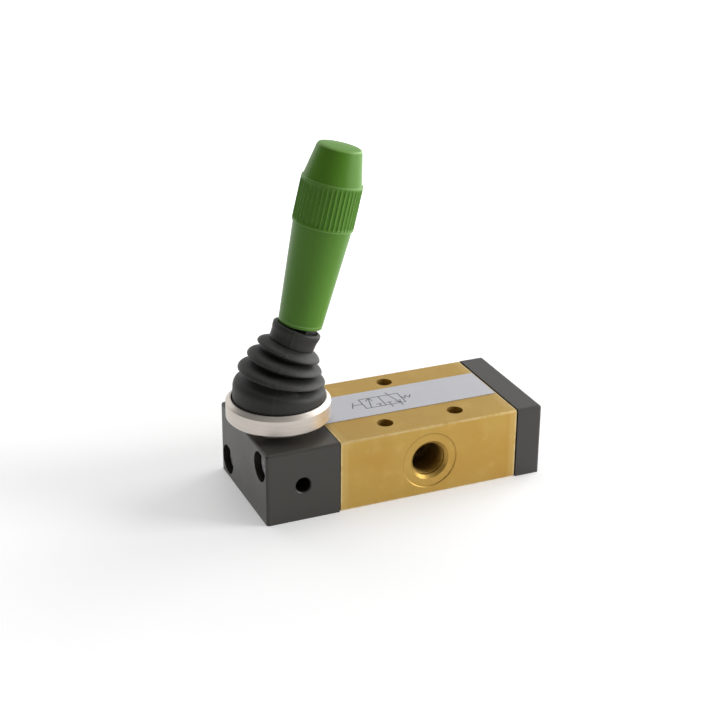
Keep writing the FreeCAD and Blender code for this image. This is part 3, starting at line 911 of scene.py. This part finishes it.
def screw_points(head_top, way, head_high, length):
    """Outline rows of radius, depth under the head's top, and the knurl's and hexagon's shares."""
    rows = np.array([
        # the shank, from the middle of its tip up to the head
        (0, length, 0, 0), (screw_shank_r - 0.5 * mm, length, 0, 0),
        (screw_shank_r, length - 0.6 * mm, 0, 0), (screw_shank_r, head_high, 0, 0),
        # the head's underside and its knurled side
        (screw_head_r - 0.3 * mm, head_high, 0, 0), (screw_head_r, head_high - 0.3 * mm, 0, 0),
        (screw_head_r, head_high - 0.6 * mm, 1, 0), (screw_head_r, 0.9 * mm, 1, 0),
        # the rounded edge and the flat top
        (screw_head_r, 0.6 * mm, 0, 0), (screw_head_r - 0.1 * mm, 0.2 * mm, 0, 0),
        (screw_head_r - 0.3 * mm, 0.03 * mm, 0, 0), (screw_head_r - 0.5 * mm, 0, 0, 0),
        # the hexagon socket with its drilled floor
        (socket_half * 1.22, 0, 0, 0), (socket_half, 0.2 * mm, 0, 1),
        (socket_half, 2.4 * mm, 0, 1), (0, 3.0 * mm, 0, 0)])
    turns = np.linspace(0, 2 * math.pi, knurls * 4, endpoint=False)
    radius, depth, knurl, hexagon = [rows[:, k][:, None] for k in range(4)]
    from_flat = (turns + math.pi / 6) % (math.pi / 3) - math.pi / 6
    radius = radius * (1 + hexagon * (1 / np.cos(from_flat) - 1)[None])
    radius = radius - knurl * knurl_depth * (0.5 - 0.5 * np.cos(knurls * turns))[None]
    side = np.array([0.0, 1.0, 0.0])
    across = np.cross(way, side)
    ring = np.cos(turns)[:, None] * side + np.sin(turns)[:, None] * across
    return head_top + radius[:, :, None] * ring[None] + depth[:, :, None] * np.array(way)


for node, way, head_high in screw_pairs:
    low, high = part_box(node)
    seat = low[0] + cad_head_high if way[0] > 0 else high[0] - cad_head_high
    tip = high[0] if way[0] > 0 else low[0]
    length = abs(tip - seat) + head_high
    spots = {"upper": (low[1], high[2], 1, -1), "lower": (high[1], low[2], -1, 1)}
    for word, (edge_y, edge_z, to_y, to_z) in spots.items():
        top = np.array([seat - way[0] * head_high, edge_y + to_y * screw_head_r,
                        edge_z + to_z * screw_head_r])
        screw = grid_piece(node[:-1] + "_" + word, screw_points(top, way, head_high, length),
                           "screw_steel", 32.0, closed_rows=False)
        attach(screw, "valve")
        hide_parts(node)

# %% [markdown]
# The boot keeps dirt out of the lever's ball. It is moulded as a cone of folds: a round base that
# snaps into the ring, three lips over dark grooves, and a collar under the handle. The folds are a
# wave: the radius follows cos(phase) with a little of its octave taken off, which makes round lips
# and narrow grooves. The lever pulls the boot over, so its middle line leaves the ring upright,
# turns evenly as part of a circle, and goes on straight to the collar.

# %% Boot sizes
boot_wall = 0.8 * mm
boot_base_r = 15.3 * mm
boot_foot = ring_along.min() + 3.4 * mm
boot_shoulder = 12.6 * mm
fold_pitch = 4.2 * mm
first_fold = 16.4 * mm
first_fold_r = 14.45 * mm
fold_shrink = 1.9 * mm
fold_count = 3
fold_swell = 1.8 * mm
fold_lean = 0.25 * mm
fold_calming = 0.06
inner_calming = 0.2
groove_sharpness = 0.18
collar_from = 26.6 * mm
collar_r = 7.6 * mm
rim_at = 31.9 * mm
rim_r = 8.1 * mm
rim_height = 1.0 * mm
bend_from = 5.4 * mm
bend_to = 24.5 * mm
bend = math.radians(22.8)
bend_r = (bend_to - bend_from) / bend
seam_turn = math.radians(-118.7)
seam_height = 0.14 * mm
seam_width = 0.42 * mm
# share of the painted crest light that the base and the collar get
off_fold_crest_share = 0.35
crest_reach = 0.42
print("boot of", fold_count, "folds, bent by %.1f degrees" % math.degrees(bend))


def middle_line(distance):
    """Centre and tilt at a distance: upright, then an arc of radius bend_r, then straight."""
    tilt = bend * np.clip((distance - bend_from) / (bend_to - bend_from), 0, 1)
    before = np.minimum(distance, bend_from)
    after = np.maximum(distance - bend_to, 0)
    x = bend_r * (1 - np.cos(tilt)) + after * math.sin(bend)
    z = before + bend_r * np.sin(tilt) + after * math.cos(bend)
    return pivot + np.stack([x, np.zeros_like(x), z], axis=-1), tilt


def folds(wall, rows):
    """Wave from the groove under the first fold to the one above the last, as (radius, distance).

    radius = crest radius - shrink * turns + swell * (cos(p) - q * cos(2p) - 1 + q) - wall
    distance = first fold + pitch * turns - lean * (cos(p) - 1), with p = 2 * pi * turns
    """
    turns = np.linspace(-0.5, fold_count - 0.5, rows * fold_count)
    phase = 2 * math.pi * turns
    swell = fold_swell * (1 - fold_calming * turns) * (1 - inner_calming * wall / boot_wall)
    wave = np.cos(phase) - groove_sharpness * np.cos(2 * phase) - 1 + groove_sharpness
    radius = first_fold_r - fold_shrink * turns + swell * wave - wall
    height = first_fold + fold_pitch * turns - fold_lean * (np.cos(phase) - 1)
    return np.stack([np.maximum(radius, collar_r - 0.5 * mm - wall), height], axis=1)


# %% [markdown]
# The boot's wall is one closed outline, up the outside and down the inside. Each of its points is
# carried round the middle line on a circle that leans with the line, so the folds fan out on the
# outside of the bend and crowd together on its inside, as they do in rubber.

# %% Boot
def boot_outline():
    """Closed outline of the wall, up outside and down inside, and each point's share of crest."""
    outer = folds(0.0, 26)
    inner = folds(boot_wall, 12)
    base = arcs([(boot_base_r - boot_wall, boot_foot, 0.2 * mm), (boot_base_r, boot_foot, 0.3 * mm),
                 (boot_base_r, boot_shoulder, 1.5 * mm), (outer[0][0], outer[0][1], 0)], 8)
    mouth_r = foot_r - 0.3 * mm
    collar = arcs([tuple(outer[-1]) + (0,), (collar_r, collar_from + 0.3 * mm, 0.3 * mm),
                   (collar_r + 0.1 * mm, rim_at - 2.2 * mm, 0.8 * mm),
                   (rim_r, rim_at - 0.6 * mm, 0.5 * mm),
                   (rim_r, rim_at + rim_height - 0.25 * mm, 0.55 * mm),
                   (mouth_r, rim_at + rim_height, 0.25 * mm),
                   (mouth_r, collar_from + 3.5 * mm, 0.5 * mm),
                   (collar_r - boot_wall, collar_from + 2.5 * mm, 0)])
    inside_base = [[boot_base_r - boot_wall, boot_shoulder - 0.8 * mm]]
    outline = np.concatenate([base[:-1], outer, collar[1:], inner[::-1], inside_base])
    crest = np.full(len(outline), off_fold_crest_share)
    fold_heights = first_fold + fold_pitch * np.arange(fold_count)
    nearest = np.abs(outline[:, 1][:, None] - fold_heights).min(axis=1)
    lips = slice(len(base) - 1, len(base) - 1 + len(outer))
    crest[lips] = np.clip(1 - nearest[lips] / (crest_reach * fold_pitch), 0, 1)
    return outline, crest


def boot_points(columns=240):
    """Circles square to the middle line, one for each outline point, with a seam on two sides."""
    outline, crest = boot_outline()
    centre, tilt = middle_line(outline[:, 1])
    turns = np.linspace(0, 2 * math.pi, columns, endpoint=False)
    side = np.stack([np.cos(tilt), np.zeros_like(tilt), -np.sin(tilt)], axis=1)
    ring = (np.cos(turns)[None, :, None] * side[:, None]
            + np.sin(turns)[None, :, None] * np.array([0.0, 1.0, 0.0]))
    radius = outline[:, 0][:, None]
    off_seam = radius * np.sin(turns - seam_turn)[None]
    radius = radius + seam_height * np.exp(-(off_seam / seam_width) ** 2)
    return centre[:, None] + ring * radius[:, :, None], np.repeat(crest[:, None], columns, axis=1)


boot_grid, boot_crest = boot_points()
boot = grid_piece("pleated_boot", boot_grid, "boot_rubber", 70.0, attributes={"crest": boot_crest})
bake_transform(boot)
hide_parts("boot")

# %% [markdown]
# The neck is a turned and threaded bush, and 3 mm of it show between the block and the ring. A
# thread is a helix, and on a grid it is simply a radius that depends on height and turn together:
# r - depth * tooth(height / pitch - turn), where the tooth is a triangle that rises and falls
# once per pitch.

# %% Threaded neck
def tooth(phase):
    """Triangle wave from 0 to 1 and back, once for each whole number of the phase."""
    return np.abs(2 * (phase - np.floor(phase)) - 1)


def neck_points(pitch=1.5 * mm, depth=0.55 * mm, columns=120, rows=64):
    """Bush outline whose outer wall is cut by the thread, with the cut fading out at both ends."""
    low, high = (np.array(corner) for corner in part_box("neck_bush"))
    outer = (high[0] - low[0]) / 2
    block_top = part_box("lever_block")[1][2]
    bore = outer - 3.5 * mm
    heights = np.linspace(block_top, high[2] - 0.5 * mm, rows)
    shank = [[bore, low[2]], [outer - 2 * mm, low[2]], [outer - 2 * mm, block_top - 0.2 * mm],
             [outer, block_top - 0.2 * mm]]
    wall = np.stack([np.full(rows, outer), heights], axis=1)
    mouth = [[outer - 0.5 * mm, high[2]], [bore - 2.5 * mm, high[2]],
             [bore - 2.5 * mm, high[2] - 1.4 * mm], [bore, high[2] - 1.4 * mm]]
    outline = np.concatenate([shank, wall, mouth])
    turns = np.arange(columns) / columns
    height = outline[:, 1][:, None]
    in_wall = (outline[:, 0][:, None] == outer) & (height >= block_top)
    fade = np.clip((height - block_top) / (0.6 * mm), 0, 1)
    fade = fade * np.clip((high[2] - height) / (0.8 * mm), 0, 1)
    cut = depth * tooth(height / pitch - turns[None]) * fade * in_wall
    foot = np.array([pivot[0], pivot[1], 0.0])
    points = turned(outline, columns, foot)
    radius = outline[:, 0][:, None] - cut
    centre = foot + height[:, :, None] * upright
    return centre + (points - centre) * (radius / outline[:, 0][:, None])[:, :, None]


neck = grid_piece("threaded_neck", neck_points(), "nickel_plated", 25.0)
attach(neck, "valve")
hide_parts("neck_bush")

# %% [markdown]
# The three ports are tapped. The same tooth, turned inside out, lines each of them with a sleeve,
# whose outer wall lies hidden in the metal. At both ends the thread fades out over the length of
# the chamfer that a tap leaves.

# %% Port threads
def port_points(mount, pitch=1.337 * mm, depth=0.42 * mm, columns=96, rows=90):
    """Sleeve in a port: its inner wall is the thread, its outer wall lies in the metal."""
    radius = mount["dims"]["r_mm"] * mm
    length = mount["dims"]["length_mm"] * mm
    heights = np.linspace(-length / 2, length / 2, rows)
    fade = np.clip((length / 2 - np.abs(heights)) / (0.9 * mm), 0, 1)[:, None]
    turns = np.arange(columns) / columns
    thread = radius - 0.02 * mm - depth * tooth(heights[:, None] / pitch - turns[None]) * fade
    way = np.array(mount["axis"], float)
    side = np.cross(upright, way)
    angles = 2 * math.pi * turns
    ring = np.cos(angles)[:, None] * side + np.sin(angles)[:, None] * upright
    backing = np.full((1, columns), radius + 0.07 * mm)
    radii = np.concatenate([backing, thread, backing])
    heights = np.concatenate([heights[:1], heights, heights[-1:]])
    return np.array(mount["pos_m"]) + radii[:, :, None] * ring[None] + heights[:, None, None] * way


for mount in ports:
    thread = grid_piece(mount["name"] + "_thread", port_points(mount), "gold_anodised", 25.0)
    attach(thread, "valve")

# %% [markdown]
# The return spring sits between the spool's shoulder and the cap, and shows when the valve is taken
# apart. It is a tube carried along a helix: place = axis + radius * side(turn), and the first and
# last turns lie flat, as a ground spring's do.

# %% Return spring
def spring_points(wire=0.5 * mm, flat_rise=3.2, turns_in_all=6.5, steps=40, sides=12):
    """Circles of wire square to the helix, with a point at each end that shuts the tube."""
    low, high = (np.array(corner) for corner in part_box("return_spring"))
    radius = (high[2] - low[2]) / 2 - wire
    turn = np.linspace(0, turns_in_all, int(turns_in_all * steps))
    along = np.interp(turn, [0, 1, turns_in_all - 1, turns_in_all],
                      [low[0] + wire, low[0] + flat_rise * wire,
                       high[0] - flat_rise * wire, high[0] - wire])
    angle = 2 * math.pi * turn
    side = np.stack([np.zeros_like(angle), np.cos(angle), np.sin(angle)], axis=1)
    level_z = np.full_like(along, (low[2] + high[2]) / 2)
    axis_line = np.stack([along, np.zeros_like(along), level_z], axis=1)
    helix = axis_line + radius * side
    forward = np.gradient(helix, axis=0)
    forward = forward / np.linalg.norm(forward, axis=1)[:, None]
    up = np.cross(forward, side)
    around = np.linspace(0, 2 * math.pi, sides, endpoint=False)[None, :, None]
    tube = helix[:, None] + wire * (np.cos(around) * side[:, None] + np.sin(around) * up[:, None])
    ends = [np.repeat(helix[k][None, None], sides, axis=1) for k in (0, -1)]
    return np.concatenate([ends[0], tube, ends[1]])


coil = grid_piece("return_coil", spring_points(), "spring_steel", 50.0, closed_rows=False)
coil_low, coil_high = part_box("return_spring")
slide = next(joint for joint in frame["record"]["behaviour"]["joints"] if joint["type"] == "slide")
kept = 1 - max(slide["range_m"]) / (coil_high[0] - coil_low[0])
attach(coil, "valve")
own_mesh(coil)
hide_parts("return_spring")
print("the spring keeps %.0f%% of its length" % (100 * kept))

# %% Finish
print("end of the scene")
